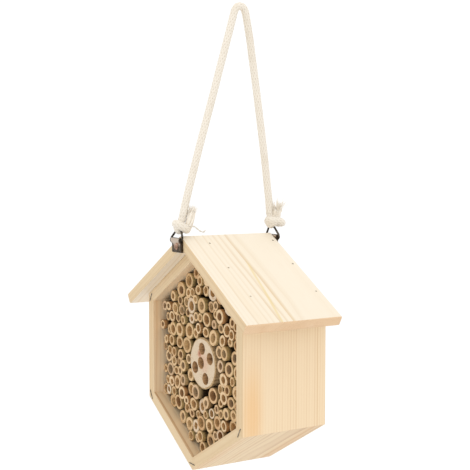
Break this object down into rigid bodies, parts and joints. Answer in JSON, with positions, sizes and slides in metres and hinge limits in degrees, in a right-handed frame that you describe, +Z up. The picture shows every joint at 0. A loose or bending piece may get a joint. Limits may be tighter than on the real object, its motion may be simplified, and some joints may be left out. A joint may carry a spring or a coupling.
{
  "type": "insect hotel",
  "caption": "Hexagonal pine insect hotel with a pitched roof, filled with bamboo tubes around a drilled log, hung by a cotton cord from triangular rings.",
  "frame": {"origin": "top of the cord's loop, where a hook, nail or branch holds the object, on the cord's centreline", "axes": "+X to the right seen from the open front, +Y from the open front to the back, +Z up; the ridge runs along Y"},
  "size_m": [0.1776, 0.0923, 0.3347],
  "materials": {
    "frame_pine": "planed, unfinished",
    "roof_pine": "planed, unfinished",
    "back_plywood": "sanded plywood",
    "log_wood": "sawn end grain",
    "bamboo": "cut cane, satin skin",
    "fastener_steel": "dull wire",
    "hanger_steel": "dark antique plating",
    "cotton_cord": "braided, undyed"
  },
  "bodies": {
    "cord_loop": {"cord": "cotton_cord"},
    "house": {"board_left": "frame_pine", "board_right": "frame_pine", "board_lower_left": "frame_pine", "board_lower_right": "frame_pine", "board_upper_left": "frame_pine", "board_upper_right": "frame_pine", "roof_left": "roof_pine", "roof_right": "roof_pine", "back_panel": "back_plywood", "corner_staples_front": "fastener_steel", "corner_staples_rear": "fastener_steel", "roof_nails_left": "fastener_steel", "roof_nails_right": "fastener_steel", "drilled_log": "log_wood", "bamboo_row_1": "bamboo", "bamboo_row_2": "bamboo", "bamboo_row_3": "bamboo", "bamboo_row_4": "bamboo", "bamboo_row_5": "bamboo", "bamboo_row_6": "bamboo", "bamboo_row_7": "bamboo", "bamboo_row_8": "bamboo", "bamboo_row_9": "bamboo", "bamboo_row_10": "bamboo", "bamboo_row_11": "bamboo", "bamboo_row_12": "bamboo", "bamboo_row_13": "bamboo", "bamboo_row_14": "bamboo", "bamboo_row_15": "bamboo", "bamboo_row_16": "bamboo", "bamboo_row_17": "bamboo", "front_hanger_strap": "hanger_steel", "rear_hanger_strap": "hanger_steel", "front_hanger_screw": "hanger_steel", "rear_hanger_screw": "hanger_steel"},
    "front_hanger": {"front_ring": "hanger_steel", "front_knot": "cotton_cord", "front_cord_end": "cotton_cord"},
    "rear_hanger": {"rear_ring": "hanger_steel", "rear_knot": "cotton_cord", "rear_cord_end": "cotton_cord"}
  },
  "joints": [
    {"name": "side_swing", "type": "hinge", "parent": "cord_loop", "child": "house", "pos_m": [-0.00125, -0.00995, -0.14914], "axis": [0.035, 0.9994, 0.007], "range_deg": [-90, 90], "deforming": ["cord"]},
    {"name": "front_ring_pivot", "type": "hinge", "parent": "house", "child": "front_hanger", "pos_m": [-0.0025, -0.05065, -0.16594], "axis": [1, 0, 0], "range_deg": [-8, 8], "deforming": ["cord"]},
    {"name": "rear_ring_pivot", "type": "hinge", "parent": "house", "child": "rear_hanger", "pos_m": [0, 0.02865, -0.16594], "axis": [1, 0, 0], "range_deg": [-8, 8], "deforming": ["cord"]}
  ]
}
